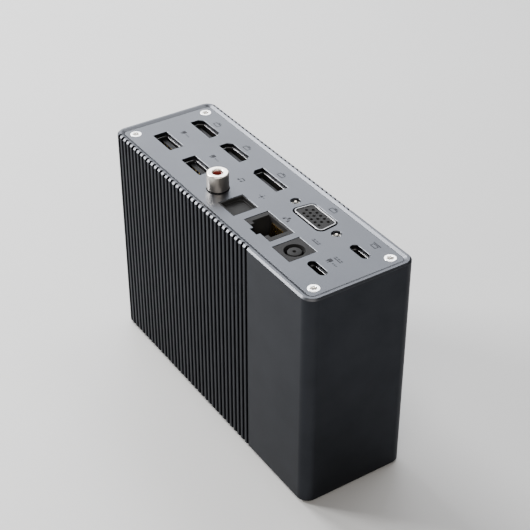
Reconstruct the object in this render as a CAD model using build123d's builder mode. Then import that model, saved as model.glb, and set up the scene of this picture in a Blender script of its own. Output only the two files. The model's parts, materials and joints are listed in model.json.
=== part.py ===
from build123d import *
import os

# Laptop docking station: an extruded aluminium sleeve stood on one end, closed by a port panel on top and a
# plain plate below, with two boards inside. Millimetres. The origin is on the table under the middle of the
# sleeve. +X runs along the sleeve's length to its smooth end, -Y is the ribbed face and +Z is up.

# Overall sizes
body_length = 132.4
body_width = 44.0
sleeve_height = 90.2
foot_lift = 0.4  # gap between the sleeve and the table

# Sleeve walls, rim and ribs
corner_radius = 4.5
side_wall = 3.4
end_wall = 4.0
cavity_radius = 2.0
rim_chamfer = 0.65
rim_flat = 0.9
rim_stand = 0.55  # how far the rim stands above the panel
slot_width = 1.3
slot_depth = 1.4
slot_pitch = 2.66
smooth_length = 36.7  # the length at the +X end that has no ribs
boss_radius = 3.3
rail_reach = 2.0
rail_wall = 1.2

# End plates and their screws
panel_inset = 2.8
panel_thickness = 2.0
panel_gap = 0.12
mouth_chamfer = 0.15
screw_inset = 6.4
screw_head_radius = 2.15
screw_shank_radius = 1.25
screw_length = 9.0
screw_clearance = 0.05
drive_length = 2.4
drive_width = 0.7
drive_depth = 0.7
foot_radius = 5.0
foot_pocket = 0.5

# Port centres, as shares of half the length and half the width, so that the ports spread with the sleeve
video_port_shares = [(-0.7387, 0.4182), (-0.4162, 0.4182)]
display_port_shares = [(-0.0597, 0.416)]
monitor_port_shares = [(0.3875, 0.409)]
usb_c_shares = [(0.7742, 0.4227), (0.7742, -0.3682)]
usb_a_shares = [(-0.7326, -0.35), (-0.4086, -0.35)]
coax_share = (-0.139, -0.4364)
optical_share = (0.0657, -0.4341)
ethernet_share = (0.3248, -0.3511)
power_share = (0.5748, -0.3786)
foot_share = (0.72, 0.42)

# Stamped shells of the flat ports
shell_clearance = 0.08
shell_recess = 1.6
video_width, video_height, video_cut_x, video_cut_y = 14.3, 5.2, 1.7, 1.9
display_width, display_height, display_cut = 16.5, 5.1, 1.5
usb_a_width, usb_a_height = 13.0, 5.8
usb_c_width, usb_c_height = 8.95, 3.3
flat_shell_wall = 0.3
flat_shell_depth = 11.8
usb_c_depth = 9.0
rear_block = 2.5  # plastic block that closes the back of a shell
foot_block = 2.0  # plastic block behind the shell that stands on the board
tongue_recess = 2.6
usb_a_tongue_width, usb_a_tongue_thickness, usb_a_tongue_gap = 11.1, 1.9, 0.5
video_tongue_width, video_tongue_thickness, video_tongue_shift = 10.8, 1.2, 0.3
display_tongue_width, display_tongue_thickness = 12.6, 1.3
usb_c_tongue_width, usb_c_tongue_thickness = 6.7, 0.7

# Strips on the tongues: how many side by side, their pitch and the width of each
contact_thickness = 0.08
contact_recess = 0.4  # from the tongue's end to the strips' ends
flat_contact_length = 6.5
usb_c_contact_length = 4.0
video_strips = (9, 1.0, 0.4)
display_strips = (10, 1.0, 0.4)
usb_a_strips = (4, 2.5, 1.0)
usb_c_strips = (12, 0.5, 0.25)

# Fifteen-hole monitor port
monitor_width, monitor_height = 18.2, 9.45
monitor_taper = 1.15
monitor_corner_radius = 2.4
monitor_shell_clearance = 0.6
monitor_shell_wall = 0.45
monitor_shell_proud = 0.15
monitor_flange_length, monitor_flange_width, monitor_flange_thickness = 31.0, 12.5, 0.8
monitor_flange_corner_radius = 1.5
monitor_block_margin = 0.5  # the flange reaches this far past the block behind it
monitor_block_depth = 8.0
monitor_face_recess = 0.1
pin_hole_radius = 0.58
pin_pitch = 2.29
pin_row_pitch = 1.98
pin_hole_depth = 6.5
pin_row_shifts = ((1, -0.12), (0, 0.42), (-1, -0.12))  # each row's place and its shift, in pitches
pin_columns = 5
pin_contact_wall, pin_contact_clearance, pin_contact_recess = 0.15, 0.03, 1.2
jack_screw_spacing = 24.99
jack_screw_radius = 1.6
jack_screw_bore = 1.1
jack_screw_hole_radius = 1.8
jack_screw_recess = 0.8
jack_screw_length = 9.0

# Coaxial audio jack
coax_radius = 4.1
coax_height = 6.75
coax_lip_radius = 1.9
coax_lip = 1.0
coax_bore = 3.4
coax_pin_bore = 1.6
coax_rounding = 0.45
coax_seat_radius = 3.75  # of the barrel below its plug wall, inside the collar and the block
coax_seat_depth = 2.0
coax_wall_gap = 0.1  # from the collar to the plug wall
coax_contact_wall = 0.25
coax_contact_recess = 2.0
coax_collar_radius = 4.3
coax_collar_height = 0.35
coax_floor = 1.0
coax_depth = 9.0
coax_block = 9.6

# Optical audio jack
optical_mouth = 10.1
optical_collar_wall = 0.4
optical_cavity = 9.0
optical_key = 1.3
optical_lip = 0.4
optical_lip_depth = 1.3
optical_lip_thickness = 0.4
optical_wall = 1.1
optical_depth = 11.0
optical_floor = 1.5
shutter_thickness = 0.7
shutter_clearance = 0.15
shutter_pin_radius = 0.35
shutter_pin_clearance = 0.04
shutter_pin_fit = 0.01  # round the pin in the block
shutter_lip_gap = 0.03
knuckle_radius = 0.75
knuckle_drop = 0.02  # from the shutter's face to its knuckle
spring_wire_radius = 0.1
spring_pitch = 0.3
spring_turns = 3
spring_end_gap = 0.5  # from the shutter's side to the gap in its knuckle
spring_play = 0.1
spring_pin_gap = 0.05
emitter_radius = 1.5
emitter_nose = 2.0
emitter_width, emitter_height, emitter_half_depth = 7.0, 3.5, 4.0

# Network jack
ethernet_width, ethernet_height = 16.4, 9.95
latch_width, latch_drop = 4.1, 1.5
plug_width, plug_height = 12.1, 7.1
plug_offset = 0.35
channel_width, channel_drop = 8.7, 1.85
plug_depth = 11.5
ethernet_depth = 16.0
ethernet_contact_count = 8
ethernet_contact_pitch = 1.016
ethernet_contact_width = 0.45
ethernet_contact_thickness = 0.3
ethernet_contact_lean = 2.1
ethernet_contact_drop = 2.2  # from the panel's top to the contacts' upper ends
ethernet_contact_rise = 1.0  # from the cavity's floor to their lower ends
ethernet_lower_wall = 1.0

# Power jack
power_width, power_height = 10.5, 11.15
power_socket_radius = 3.75
power_post_radius = 2.55
power_bore_radius = 0.6
power_contact_wall = 0.2
power_sleeve_wall = 0.15
power_socket_depth = 10.5
power_depth = 14.0
power_post_recess = 0.5
power_contact_recess = 2.0
power_sleeve_recess = 2.0
power_offset = (0.45, -0.28)  # the socket isn't in the middle of its block

# Boards and what stands on them
board_thickness = 1.6
board_clearance = 0.15
upper_board_clearance = 0.6
board_notch_margin = 0.5
board_notch_depth_margin = 1.0
board_end_gap = 0.3
board_top_gap = 0.8
block_clearance = 0.1
spacer_across_flats = 5.0
board_screw_length = 5.0
board_screw_head_radius = 2.3
board_screw_head = 1.3
chip_size, chip_height = 14.0, 1.2
pad_thickness = 0.9
spreader_thickness = 2.0
spreader_gap = 0.1
spreader_length, spreader_height = 70.0, 38.0
spreader_x = -7.0
spacer_share = 0.62  # of half the length
spacer_rises = (8.0, 44.0)
board_connector_length, board_connector_height, board_connector_rise = 36.0, 5.0, 22.0
chip_rise = 32.0
hub_chip_xs = (-22.0, 8.0)
video_chip_xs = (-30.0, -4.0)
transformer_length, transformer_height, transformer_thickness, transformer_drop = 15.0, 12.0, 6.0, 8.0
inductor_size, inductor_corner_radius, inductor_thickness = 8.0, 1.5, 4.0
inductor_rises = (18.0, 30.0, 56.0)
capacitor_radius, capacitor_height, capacitor_share = 3.15, 7.7, 0.79
capacitor_rises = (18.0, 30.0, 56.0, 64.0)
crystal_length, crystal_height, crystal_corner_radius, crystal_thickness = 5.0, 3.2, 0.6, 0.9
crystal_xs, crystal_rise = (-7.0, 22.0), 20.0

# Worked out from the sizes above
half_length = body_length / 2
half_width = body_width / 2
sleeve_bottom = foot_lift
sleeve_top = sleeve_bottom + sleeve_height
panel_top = sleeve_top - rim_stand
panel_bottom = panel_top - panel_thickness
base_bottom = sleeve_bottom + rim_stand
base_top = base_bottom + panel_thickness
panel_length = body_length - 2 * panel_inset
panel_width = body_width - 2 * panel_inset
panel_corner_radius = corner_radius - panel_inset
cavity_length = body_length - 2 * end_wall
cavity_width = body_width - 2 * side_wall
screw_x = half_length - screw_inset
screw_y = half_width - screw_inset
screw_places = [(x, y) for x in (-screw_x, screw_x) for y in (-screw_y, screw_y)]
slot_count = int((body_length - corner_radius - smooth_length) / slot_pitch) + 1
slot_places = [
    (-half_length + corner_radius + i * slot_pitch, side * (half_width - slot_depth / 2))
    for i in range(slot_count)
    for side in (-1, 1)
]


def place(share):
    return (share[0] * half_length, share[1] * half_width)


video_ports = [place(share) for share in video_port_shares]
display_ports = [place(share) for share in display_port_shares]
monitor_port = place(monitor_port_shares[0])
usb_c_ports = [place(share) for share in usb_c_shares]
usb_a_ports = [place(share) for share in usb_a_shares]
coax_jack = place(coax_share)
optical_jack = place(optical_share)
ethernet_jack = place(ethernet_share)
power_jack = place(power_share)
power_socket = (power_jack[0] + power_offset[0], power_jack[1] + power_offset[1])
jack_screw_places = [(monitor_port[0] + side * jack_screw_spacing / 2, monitor_port[1]) for side in (-1, 1)]
foot_x, foot_y = place(foot_share)
foot_places = [(x, y) for x in (-foot_x, foot_x) for y in (-foot_y, foot_y)]

# Each board faces -Y with its connectors in front of it
lower_board_face = ethernet_jack[1] + ethernet_height / 2 + board_clearance
upper_board_face = video_ports[0][1] + video_height / 2 + upper_board_clearance
lower_board_back = lower_board_face + board_thickness
upper_board_back = upper_board_face + board_thickness
board_bottom = base_top + board_top_gap
board_top = panel_bottom - board_top_gap
board_middle = (board_bottom + board_top) / 2
lower_board_half = cavity_length / 2 - board_end_gap
upper_board_half = screw_x - boss_radius - board_end_gap
spacer_x = spacer_share * half_length
spacer_places = [(x, board_bottom + rise) for x in (-spacer_x, spacer_x) for rise in spacer_rises]


def save(builder, name):
    builder.part.label = name
    export_step(builder.part, f"parts/{name}.step")


def wall_plane(y):
    """The upright plane at y, facing -Y, with its own x along +X and its own y along +Z."""
    return Plane.XZ.offset(-y)


def grown(outline, amount):
    """A copy of an outline, grown by amount all round."""
    with BuildSketch() as result:
        offset(outline.sketch, amount=amount, kind=Kind.INTERSECTION)
    return result.sketch


# Outlines of the port mouths, each about its own centre
with BuildSketch() as video_mouth:
    with BuildLine():
        Polyline(
            (-video_width / 2, -video_height / 2),
            (video_width / 2, -video_height / 2),
            (video_width / 2, video_height / 2 - video_cut_y),
            (video_width / 2 - video_cut_x, video_height / 2),
            (-video_width / 2 + video_cut_x, video_height / 2),
            (-video_width / 2, video_height / 2 - video_cut_y),
            close=True,
        )
    make_face()

with BuildSketch() as display_mouth:
    with BuildLine():
        Polyline(
            (-display_width / 2 + display_cut, -display_height / 2),
            (display_width / 2, -display_height / 2),
            (display_width / 2, display_height / 2),
            (-display_width / 2, display_height / 2),
            (-display_width / 2, -display_height / 2 + display_cut),
            close=True,
        )
    make_face()

with BuildSketch() as usb_a_mouth:
    RectangleRounded(usb_a_width, usb_a_height, 0.5)

with BuildSketch() as usb_c_mouth:
    SlotOverall(usb_c_width, usb_c_height)

with BuildSketch() as monitor_mouth:
    with BuildLine():
        Polyline(
            (-monitor_width / 2, -monitor_height / 2),
            (monitor_width / 2, -monitor_height / 2),
            (monitor_width / 2 - monitor_taper, monitor_height / 2),
            (-monitor_width / 2 + monitor_taper, monitor_height / 2),
            close=True,
        )
    make_face()
    fillet(monitor_mouth.vertices(), monitor_corner_radius)

with BuildSketch() as ethernet_mouth:
    Rectangle(ethernet_width, ethernet_height)
    with Locations((0, -ethernet_height / 2 - latch_drop / 2)):
        Rectangle(latch_width, latch_drop)

monitor_shell_outline = grown(monitor_mouth, -monitor_shell_clearance)
with BuildSketch() as monitor_shell_sketch:
    add(monitor_shell_outline)
monitor_insert_outline = grown(monitor_shell_sketch, -monitor_shell_wall)

# Housing: one extrusion with screw channels, board rails and a pocket at each end
with BuildPart() as housing_sleeve:
    with BuildSketch(Plane.XY.offset(sleeve_bottom)):
        RectangleRounded(body_length, body_width, corner_radius)
    extrude(amount=sleeve_height)
    chamfer(housing_sleeve.faces().filter_by(Axis.Z).edges(), rim_chamfer)
    with BuildSketch(Plane.XY.offset(sleeve_bottom)):
        RectangleRounded(cavity_length, cavity_width, cavity_radius)
        with Locations(*screw_places):
            Circle(boss_radius, mode=Mode.SUBTRACT)
        for side in (-1, 1):
            for rail_y in (
                lower_board_face - board_clearance - rail_wall / 2,
                lower_board_back + board_clearance + rail_wall / 2,
            ):
                with Locations((side * (cavity_length - rail_reach) / 2, rail_y)):
                    Rectangle(rail_reach, rail_wall, mode=Mode.SUBTRACT)
    extrude(amount=sleeve_height, mode=Mode.SUBTRACT)
    with BuildSketch(Plane.XY.offset(sleeve_bottom)):
        with Locations(*screw_places):
            Circle(screw_shank_radius + screw_clearance)
    extrude(amount=sleeve_height, mode=Mode.SUBTRACT)
    for rim_z, step in ((sleeve_top, -1), (sleeve_bottom, 1)):
        with BuildSketch(Plane.XY.offset(rim_z)):
            RectangleRounded(
                body_length - 2 * (rim_chamfer + rim_flat),
                body_width - 2 * (rim_chamfer + rim_flat),
                corner_radius - rim_chamfer - rim_flat,
            )
        with BuildSketch(Plane.XY.offset(rim_z + step * rim_stand)):
            RectangleRounded(panel_length + 2 * panel_gap, panel_width + 2 * panel_gap, panel_corner_radius)
        loft(mode=Mode.SUBTRACT)
        with BuildSketch(Plane.XY.offset(rim_z + step * rim_stand)):
            RectangleRounded(panel_length + 2 * panel_gap, panel_width + 2 * panel_gap, panel_corner_radius)
        extrude(amount=step * panel_thickness, mode=Mode.SUBTRACT)
    with BuildSketch(Plane.XY.offset(sleeve_bottom)):
        with Locations(*slot_places):
            Rectangle(slot_width, slot_depth)
    extrude(amount=sleeve_height, mode=Mode.SUBTRACT)

# Port panel with a mouth for each connector and four countersunk holes
with BuildPart() as port_panel:
    with BuildSketch(Plane.XY.offset(panel_bottom)):
        RectangleRounded(panel_length, panel_width, panel_corner_radius)
        with Locations(*video_ports):
            add(video_mouth.sketch, mode=Mode.SUBTRACT)
        with Locations(*display_ports):
            add(display_mouth.sketch, mode=Mode.SUBTRACT)
        with Locations(*usb_a_ports):
            add(usb_a_mouth.sketch, mode=Mode.SUBTRACT)
        with Locations(*usb_c_ports):
            add(usb_c_mouth.sketch, mode=Mode.SUBTRACT)
        with Locations(monitor_port):
            add(monitor_mouth.sketch, mode=Mode.SUBTRACT)
        with Locations(*jack_screw_places):
            Circle(jack_screw_hole_radius, mode=Mode.SUBTRACT)
        with Locations(coax_jack):
            Circle(coax_radius + block_clearance, mode=Mode.SUBTRACT)
        with Locations(optical_jack):
            Rectangle(optical_mouth, optical_mouth, mode=Mode.SUBTRACT)
        with Locations(ethernet_jack):
            add(ethernet_mouth.sketch, mode=Mode.SUBTRACT)
        with Locations(power_jack):
            Rectangle(power_width, power_height, mode=Mode.SUBTRACT)
    extrude(amount=panel_thickness)
    chamfer(port_panel.faces().sort_by(Axis.Z)[-1].inner_wires().edges(), mouth_chamfer)
    with Locations(*[Location((x, y, panel_top)) for x, y in screw_places]):
        CounterSinkHole(screw_shank_radius + screw_clearance, screw_head_radius + screw_clearance)

# Plate that closes the lower end, with pockets for the feet
with BuildPart() as base_plate:
    with BuildSketch(Plane.XY.offset(base_bottom)):
        RectangleRounded(panel_length, panel_width, panel_corner_radius)
    extrude(amount=panel_thickness)
    with Locations(*[Location((x, y, base_bottom), (180, 0, 0)) for x, y in screw_places]):
        CounterSinkHole(screw_shank_radius + screw_clearance, screw_head_radius + screw_clearance)
    with BuildSketch(Plane.XY.offset(base_bottom)):
        with Locations(*foot_places):
            Circle(foot_radius)
    extrude(amount=foot_pocket, mode=Mode.SUBTRACT)

with BuildPart() as base_feet:
    with BuildSketch():
        with Locations(*foot_places):
            Circle(foot_radius)
    extrude(amount=base_bottom + foot_pocket)

# One flat-head screw, its head's top at the origin and its shank down -Z
with BuildPart() as flat_screw:
    with BuildSketch(Plane.XZ):
        with BuildLine():
            Polyline(
                (0, 0),
                (screw_head_radius, 0),
                (screw_shank_radius, screw_shank_radius - screw_head_radius),
                (screw_shank_radius, -screw_length),
                (0, -screw_length),
                close=True,
            )
        make_face()
    revolve(axis=Axis.Z)
    with BuildSketch():
        with PolarLocations(0, 3, angular_range=180):
            SlotOverall(drive_length, drive_width)
    extrude(amount=-drive_depth, mode=Mode.SUBTRACT)

with BuildPart() as port_panel_screws:
    with Locations(*[Location((x, y, panel_top)) for x, y in screw_places]):
        add(flat_screw.part)

with BuildPart() as base_plate_screws:
    with Locations(*[Location((x, y, base_bottom), (180, 0, 0)) for x, y in screw_places]):
        add(flat_screw.part)


def make_shells(places, mouth, depth):
    """Stamped tubes, one in each mouth."""
    with BuildPart() as shells:
        with BuildSketch(Plane.XY.offset(panel_top - shell_recess)):
            with Locations(*places):
                add(grown(mouth, -shell_clearance))
                add(grown(mouth, -shell_clearance - flat_shell_wall), mode=Mode.SUBTRACT)
        extrude(amount=-depth)
    return shells


def make_tongues(places, mouth, depth, tongue_width, tongue_thickness, tongue_shift, board_faces):
    """Plastic cores: a tongue in each shell, a block that closes its back and a foot on the board."""
    shell_end = panel_top - shell_recess - depth
    inner = grown(mouth, -shell_clearance - flat_shell_wall)
    inner_height = inner.bounding_box().size.Y
    with BuildPart() as tongues:
        with BuildSketch(Plane.XY.offset(shell_end)):
            with Locations(*places):
                add(inner)
        extrude(amount=rear_block)
        with BuildSketch(Plane.XY.offset(shell_end)):
            with Locations(*[(x, y + tongue_shift) for x, y in places]):
                Rectangle(tongue_width, tongue_thickness)
        extrude(amount=depth + shell_recess - tongue_recess)
        for (x, y), face in zip(places, board_faces):
            with BuildSketch(Plane.XY.offset(shell_end)):
                with Locations((x, (y - inner_height / 2 + face) / 2)):
                    Rectangle(inner.bounding_box().size.X, face - y + inner_height / 2)
            extrude(amount=-foot_block)
    return tongues


def make_contacts(places, strips, length, tongue_thickness, tongue_shift, sides):
    """Thin strips on a tongue's faces; sides lists 1 for the face towards +Y and -1 for the other."""
    count, pitch, width = strips
    with BuildPart() as contacts:
        for side in sides:
            strip_y = tongue_shift + side * (tongue_thickness + contact_thickness) / 2
            with BuildSketch(Plane.XY.offset(panel_top - tongue_recess - contact_recess)):
                for x, y in places:
                    with Locations((x, y + strip_y)):
                        with GridLocations(pitch, 1, count, 1):
                            Rectangle(width, contact_thickness)
            extrude(amount=-length)
    return contacts


usb_a_inner = usb_a_height - 2 * (shell_clearance + flat_shell_wall)
usb_a_tongue_shift = usb_a_inner / 2 - usb_a_tongue_gap - usb_a_tongue_thickness / 2

video_port_shells = make_shells(video_ports, video_mouth, flat_shell_depth)
display_port_shell = make_shells(display_ports, display_mouth, flat_shell_depth)
usb_a_shells = make_shells(usb_a_ports, usb_a_mouth, flat_shell_depth)
usb_c_shells = make_shells(usb_c_ports, usb_c_mouth, usb_c_depth)

video_port_tongues = make_tongues(
    video_ports,
    video_mouth,
    flat_shell_depth,
    video_tongue_width,
    video_tongue_thickness,
    video_tongue_shift,
    [upper_board_face, upper_board_face],
)
display_port_tongue = make_tongues(
    display_ports,
    display_mouth,
    flat_shell_depth,
    display_tongue_width,
    display_tongue_thickness,
    0,
    [upper_board_face],
)
usb_a_tongues = make_tongues(
    usb_a_ports,
    usb_a_mouth,
    flat_shell_depth,
    usb_a_tongue_width,
    usb_a_tongue_thickness,
    usb_a_tongue_shift,
    [lower_board_face, lower_board_face],
)
usb_c_tongues = make_tongues(
    usb_c_ports,
    usb_c_mouth,
    usb_c_depth,
    usb_c_tongue_width,
    usb_c_tongue_thickness,
    0,
    [upper_board_face, lower_board_face],
)

video_port_contacts = make_contacts(
    video_ports, video_strips, flat_contact_length, video_tongue_thickness, video_tongue_shift, (1, -1)
)
display_port_contacts = make_contacts(
    display_ports, display_strips, flat_contact_length, display_tongue_thickness, 0, (1, -1)
)
usb_a_contacts = make_contacts(
    usb_a_ports, usb_a_strips, flat_contact_length, usb_a_tongue_thickness, usb_a_tongue_shift, (-1,)
)
usb_c_contacts = make_contacts(
    usb_c_ports, usb_c_strips, usb_c_contact_length, usb_c_tongue_thickness, 0, (1, -1)
)

# Monitor port: flanged shell, moulded insert, jack screws and socket contacts
flange_bottom = panel_bottom - monitor_flange_thickness
monitor_face = panel_top - monitor_face_recess
first_pin_x = monitor_port[0] - (pin_columns - 1) / 2 * pin_pitch
pin_places = [
    (first_pin_x + (column - shift) * pin_pitch, monitor_port[1] + row * pin_row_pitch)
    for row, shift in pin_row_shifts
    for column in range(pin_columns)
]
monitor_block_length = monitor_flange_length - 2 * monitor_block_margin
monitor_block_width = monitor_flange_width - 2 * monitor_block_margin

with BuildPart() as monitor_port_shell:
    with BuildSketch(Plane.XY.offset(flange_bottom)):
        with Locations(monitor_port):
            RectangleRounded(monitor_flange_length, monitor_flange_width, monitor_flange_corner_radius)
            add(monitor_insert_outline, mode=Mode.SUBTRACT)
        with Locations(*jack_screw_places):
            Circle(jack_screw_radius + screw_clearance, mode=Mode.SUBTRACT)
    extrude(amount=monitor_flange_thickness)
    with BuildSketch(Plane.XY.offset(flange_bottom)):
        with Locations(monitor_port):
            add(monitor_shell_outline)
            add(monitor_insert_outline, mode=Mode.SUBTRACT)
    extrude(amount=panel_top + monitor_shell_proud - flange_bottom)

with BuildPart() as monitor_port_insert:
    with BuildSketch(Plane.XY.offset(flange_bottom)):
        with Locations(monitor_port):
            add(monitor_insert_outline)
    extrude(amount=monitor_face - flange_bottom)
    with BuildSketch(Plane.XY.offset(flange_bottom)):
        with Locations(monitor_port):
            Rectangle(monitor_block_length, monitor_block_width)
        with Locations(*jack_screw_places):
            Circle(jack_screw_radius + screw_clearance, mode=Mode.SUBTRACT)
    extrude(amount=-monitor_block_depth)
    with BuildSketch(Plane.XY.offset(monitor_face)):
        with Locations(*pin_places):
            Circle(pin_hole_radius)
    extrude(amount=-pin_hole_depth, mode=Mode.SUBTRACT)

with BuildPart() as monitor_port_contacts:
    with BuildSketch(Plane.XY.offset(monitor_face - pin_contact_recess)):
        with Locations(*pin_places):
            Circle(pin_hole_radius - pin_contact_clearance)
            Circle(pin_hole_radius - pin_contact_clearance - pin_contact_wall, mode=Mode.SUBTRACT)
    extrude(amount=pin_contact_recess - pin_hole_depth)

with BuildPart() as monitor_port_jack_screws:
    with BuildSketch(Plane.XY.offset(panel_top - jack_screw_recess)):
        with Locations(*jack_screw_places):
            Circle(jack_screw_radius)
            Circle(jack_screw_bore, mode=Mode.SUBTRACT)
    extrude(amount=-jack_screw_length)

# Coaxial jack: plated barrel, coloured insulator, centre contact, collar and block. The barrel has a narrower
# seat inside the collar and the block, and its full radius where the plug slides over it.
coax_rear = panel_bottom - coax_depth
coax_seat_bottom = panel_bottom - coax_seat_depth
coax_inner_floor = coax_rear + coax_floor
coax_wall_bottom = panel_top + coax_collar_height + coax_wall_gap
coax_top = panel_top + coax_height
coax_lip_bottom = coax_top - coax_lip
with BuildPart() as coax_jack_barrel:
    with BuildSketch(Plane.XY.offset(coax_seat_bottom)):
        with Locations(coax_jack):
            Circle(coax_seat_radius)
    extrude(amount=coax_wall_bottom - coax_seat_bottom)
    with BuildSketch(Plane.XY.offset(coax_wall_bottom)):
        with Locations(coax_jack):
            Circle(coax_radius)
    extrude(amount=coax_top - coax_wall_bottom)
    with BuildSketch(Plane.XY.offset(coax_seat_bottom)):
        with Locations(coax_jack):
            Circle(coax_bore)
    extrude(amount=coax_lip_bottom - coax_seat_bottom, mode=Mode.SUBTRACT)
    with BuildSketch(Plane.XY.offset(coax_lip_bottom)):
        with Locations(coax_jack):
            Circle(coax_lip_radius)
    extrude(amount=coax_lip, mode=Mode.SUBTRACT)
    fillet(coax_jack_barrel.faces().sort_by(Axis.Z)[-1].edges(), coax_rounding)

with BuildPart() as coax_jack_insulator:
    with BuildSketch(Plane.XY.offset(coax_inner_floor)):
        with Locations(coax_jack):
            Circle(coax_bore)
            Circle(coax_pin_bore, mode=Mode.SUBTRACT)
    extrude(amount=coax_lip_bottom - coax_inner_floor)

with BuildPart() as coax_jack_centre_contact:
    with BuildSketch(Plane.XY.offset(coax_inner_floor)):
        with Locations(coax_jack):
            Circle(coax_pin_bore)
            Circle(coax_pin_bore - coax_contact_wall, mode=Mode.SUBTRACT)
    extrude(amount=coax_lip_bottom - coax_contact_recess - coax_inner_floor)

with BuildPart() as coax_jack_collar:
    with BuildSketch(Plane.XY.offset(panel_top)):
        with Locations(coax_jack):
            Circle(coax_collar_radius)
            Circle(coax_seat_radius, mode=Mode.SUBTRACT)
    extrude(amount=coax_collar_height)

with BuildPart() as coax_jack_block:
    with BuildSketch(Plane.XY.offset(coax_rear)):
        with Locations((coax_jack[0], (coax_jack[1] - coax_block / 2 + lower_board_face) / 2)):
            Rectangle(coax_block, lower_board_face - coax_jack[1] + coax_block / 2)
    extrude(amount=coax_depth)
    with BuildSketch(Plane.XY.offset(coax_inner_floor)):
        with Locations(coax_jack):
            Circle(coax_bore)
    extrude(amount=coax_depth, mode=Mode.SUBTRACT)
    with BuildSketch(Plane.XY.offset(coax_seat_bottom)):
        with Locations(coax_jack):
            Circle(coax_seat_radius)
    extrude(amount=coax_seat_depth, mode=Mode.SUBTRACT)

# Optical jack: block with a keyed lip, sprung shutter on a pin, and the emitter behind it
optical_x, optical_y = optical_jack
optical_rear = panel_bottom - optical_depth
optical_outer = optical_cavity + 2 * optical_wall
optical_collar = optical_mouth - 2 * block_clearance
lip_top = panel_top - optical_lip_depth
lip_bottom = lip_top - optical_lip_thickness
shutter_top = lip_bottom - shutter_lip_gap
pin_z = shutter_top - knuckle_radius - knuckle_drop
pin_y = optical_y - optical_cavity / 2 + knuckle_radius + shutter_clearance
shutter_width = optical_cavity - 2 * shutter_clearance
spring_length = spring_pitch * spring_turns + 2 * (spring_wire_radius + spring_play)
shutter_right = optical_x + shutter_width / 2
spring_right = shutter_right - spring_end_gap
optical_front = panel_top - block_clearance
optical_low_side = optical_y - optical_outer / 2

with BuildSketch() as optical_key_outline:
    with BuildLine():
        lip_half = optical_cavity / 2 - optical_lip
        Polyline(
            (-lip_half, -lip_half),
            (lip_half, -lip_half),
            (lip_half, lip_half - optical_key),
            (lip_half - optical_key, lip_half),
            (-lip_half + optical_key, lip_half),
            (-lip_half, lip_half - optical_key),
            close=True,
        )
    make_face()

with BuildPart() as optical_jack_block:
    with BuildSketch(Plane.XY.offset(optical_rear)):
        with Locations((optical_x, (optical_low_side + lower_board_face) / 2)):
            Rectangle(optical_outer, lower_board_face - optical_low_side)
    extrude(amount=optical_depth)
    with BuildSketch(Plane.XY.offset(panel_bottom)):
        with Locations(optical_jack):
            Rectangle(optical_collar, optical_collar)
    extrude(amount=optical_front - panel_bottom)
    with BuildSketch(Plane.XY.offset(optical_front)):
        with Locations(optical_jack):
            Rectangle(optical_collar - 2 * optical_collar_wall, optical_collar - 2 * optical_collar_wall)
    extrude(amount=lip_top - optical_front, mode=Mode.SUBTRACT)
    with BuildSketch(Plane.XY.offset(lip_bottom)):
        with Locations(optical_jack):
            add(optical_key_outline.sketch)
    extrude(amount=optical_lip_thickness, mode=Mode.SUBTRACT)
    with BuildSketch(Plane.XY.offset(lip_bottom)):
        with Locations(optical_jack):
            Rectangle(optical_cavity, optical_cavity)
    extrude(amount=optical_rear + optical_floor - lip_bottom, mode=Mode.SUBTRACT)
    with BuildSketch(Plane.XY.offset(optical_rear)):
        with Locations(optical_jack):
            Circle(emitter_radius + block_clearance)
    extrude(amount=optical_floor, mode=Mode.SUBTRACT)
    with BuildSketch(Plane.YZ.offset(optical_x - optical_outer / 2)):
        with Locations((pin_y, pin_z)):
            Circle(shutter_pin_radius + shutter_pin_fit)
    extrude(amount=optical_outer, mode=Mode.SUBTRACT)

with BuildPart() as optical_shutter:
    with BuildSketch(Plane.XY.offset(shutter_top)):
        with Locations((optical_x, (pin_y + optical_y + optical_cavity / 2 - shutter_clearance) / 2)):
            Rectangle(shutter_width, optical_y + optical_cavity / 2 - shutter_clearance - pin_y)
    extrude(amount=-shutter_thickness)
    with BuildSketch(Plane.YZ.offset(shutter_right)):
        with Locations((pin_y, pin_z)):
            Circle(knuckle_radius)
    extrude(amount=-shutter_width)
    with BuildSketch(Plane.YZ.offset(shutter_right)):
        with Locations((pin_y, pin_z)):
            Circle(shutter_pin_radius + shutter_pin_clearance)
    extrude(amount=-shutter_width, mode=Mode.SUBTRACT)
    with BuildSketch(Plane.YZ.offset(spring_right)):
        with Locations((pin_y, pin_z)):
            Rectangle(2.2 * knuckle_radius, 2.8 * knuckle_radius)
    extrude(amount=-spring_length, mode=Mode.SUBTRACT)

with BuildPart() as shutter_pin:
    with BuildSketch(Plane.YZ.offset(optical_x - optical_outer / 2)):
        with Locations((pin_y, pin_z)):
            Circle(shutter_pin_radius)
    extrude(amount=optical_outer)

# Coil of the shutter spring, wound about the pin in the gap of the knuckle
coil_radius = shutter_pin_radius + spring_pin_gap + spring_wire_radius
spring_left = spring_right - spring_length + spring_play + spring_wire_radius
with BuildPart() as shutter_spring:
    with BuildLine():
        coil = Helix(spring_pitch, spring_pitch * spring_turns, coil_radius,
                     center=(spring_left, pin_y, pin_z), direction=(1, 0, 0))
    with BuildSketch(Plane(origin=coil @ 0, z_dir=coil % 0)):
        Circle(spring_wire_radius)
    sweep(path=coil, is_frenet=True)

with BuildPart() as optical_emitter:
    with BuildSketch(Plane.XY.offset(optical_rear)):
        with Locations((optical_x, (optical_y - emitter_half_depth + lower_board_face) / 2)):
            Rectangle(emitter_width, lower_board_face - optical_y + emitter_half_depth)
    extrude(amount=-emitter_height)
    with BuildSketch(Plane.XY.offset(optical_rear)):
        with Locations(optical_jack):
            Circle(emitter_radius)
    extrude(amount=emitter_nose)

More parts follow.
